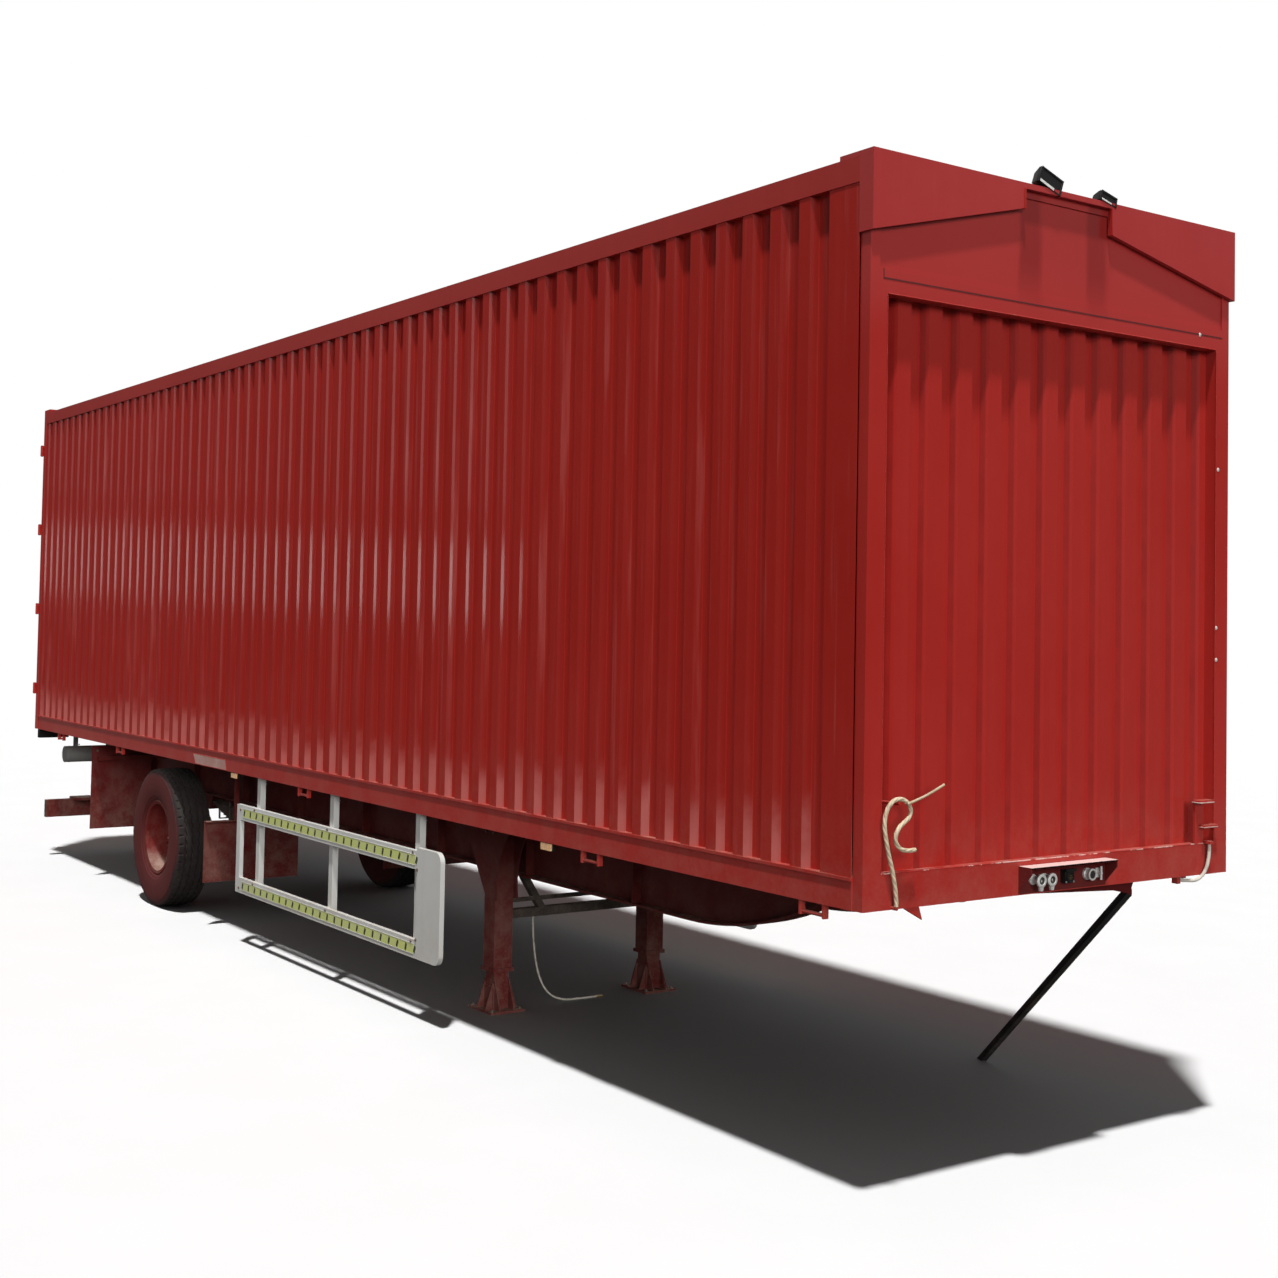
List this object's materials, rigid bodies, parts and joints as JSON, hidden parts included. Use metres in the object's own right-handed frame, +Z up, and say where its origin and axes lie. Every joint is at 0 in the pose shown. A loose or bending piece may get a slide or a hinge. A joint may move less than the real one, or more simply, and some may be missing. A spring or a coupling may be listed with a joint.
{
  "type": "single-axle corrugated van semi-trailer",
  "caption": "Box van semi-trailer with corrugated steel walls, kingpin coupling, sprung axle, side guards, rear doors and landing legs, parked on its legs.",
  "frame": {"origin": "middle of the bounding box in plan, on the ground that the wheels and the landing feet stand on", "axes": "+X along the trailer towards the nose and its kingpin, +Y across it towards the trailer's own left, +Z up"},
  "size_m": [12.21, 2.488, 4.5173],
  "materials": {
    "body_paint": "weathered gloss red over old paint, thin dust",
    "chassis_paint": "weathered dark red, grimy",
    "coupler_steel": "dark red worn to greasy steel",
    "coupling_metal": "dull cast metal",
    "lamp_plastic": "black housings with pale lenses",
    "zinc_steel": "dull zinc-plated steel",
    "lamp_lens": "red and orange lenses in a black housing",
    "marker_lens": "orange lens",
    "tank_paint": "dusty grey paint",
    "dark_steel": "dark, greasy and dusty",
    "guard_paint": "dull white with yellow-green reflecting strips",
    "spring_steel": "dark rusty spring steel",
    "tyre_rubber": "worn tread, dusty, red overspray beside the rim",
    "rim_paint": "dark red with dust",
    "floor_wood": "worn boards",
    "prop_paint": "matt black",
    "rope_fibre": "pale twisted fibre",
    "hose_pale": "pale, dirty"
  },
  "bodies": {
    "trailer": {"main_beam_left": "chassis_paint", "main_beam_right": "chassis_paint", "cross_members": "chassis_paint", "floor_boards": "floor_wood", "coupler_plate": "coupler_steel", "bottom_rails": "body_paint", "side_wall_left": "body_paint", "side_wall_right": "body_paint", "top_rails": "body_paint", "roof_panel": "body_paint", "nose_frame": "body_paint", "nose_wall": "body_paint", "nose_visor": "body_paint", "connector_box": "chassis_paint", "air_couplings": "coupling_metal", "top_lamps": "lamp_plastic", "rear_frame": "body_paint", "rear_bumper": "chassis_paint", "rear_lamps": "lamp_lens", "mud_plates": "chassis_paint", "air_tank": "tank_paint", "side_markers": "marker_lens", "landing_leg_left": "chassis_paint", "landing_leg_right": "chassis_paint", "landing_foot_left": "chassis_paint", "landing_foot_right": "chassis_paint", "leg_brace": "dark_steel", "side_guard_left": "guard_paint", "side_guard_right": "guard_paint", "axle_beam": "dark_steel", "leaf_springs": "spring_steel", "spring_hangers": "chassis_paint", "nose_prop": "prop_paint", "nose_rope": "rope_fibre", "nose_hose": "hose_pale", "leg_hose": "hose_pale", "hose_coupling": "coupling_metal"},
    "door_left": {"rear_door_left": "body_paint", "lock_bars_left": "zinc_steel"},
    "door_right": {"rear_door_right": "body_paint", "lock_bars_right": "zinc_steel"},
    "wheel_left": {"tyre_left": "tyre_rubber", "wheel_rim_left": "rim_paint", "hub_left": "dark_steel"},
    "wheel_right": {"tyre_right": "tyre_rubber", "wheel_rim_right": "rim_paint", "hub_right": "dark_steel"}
  },
  "joints": [
    {"name": "wheel_spin_left", "type": "hinge", "parent": "trailer", "child": "wheel_left", "pos_m": [-2.58, 1.03, 0.565], "axis": [0, 1, 0], "continuous": true},
    {"name": "wheel_spin_right", "type": "hinge", "parent": "trailer", "child": "wheel_right", "pos_m": [-2.58, -1.03, 0.565], "axis": [0, 1, 0], "continuous": true},
    {"name": "door_hinge_left", "type": "hinge", "parent": "trailer", "child": "door_left", "pos_m": [-6.055, 1.228, 2.84], "axis": [0, 0, -1], "range_deg": [0, 245]},
    {"name": "door_hinge_right", "type": "hinge", "parent": "trailer", "child": "door_right", "pos_m": [-6.055, -1.228, 2.84], "axis": [0, 0, 1], "range_deg": [0, 245]}
  ]
}
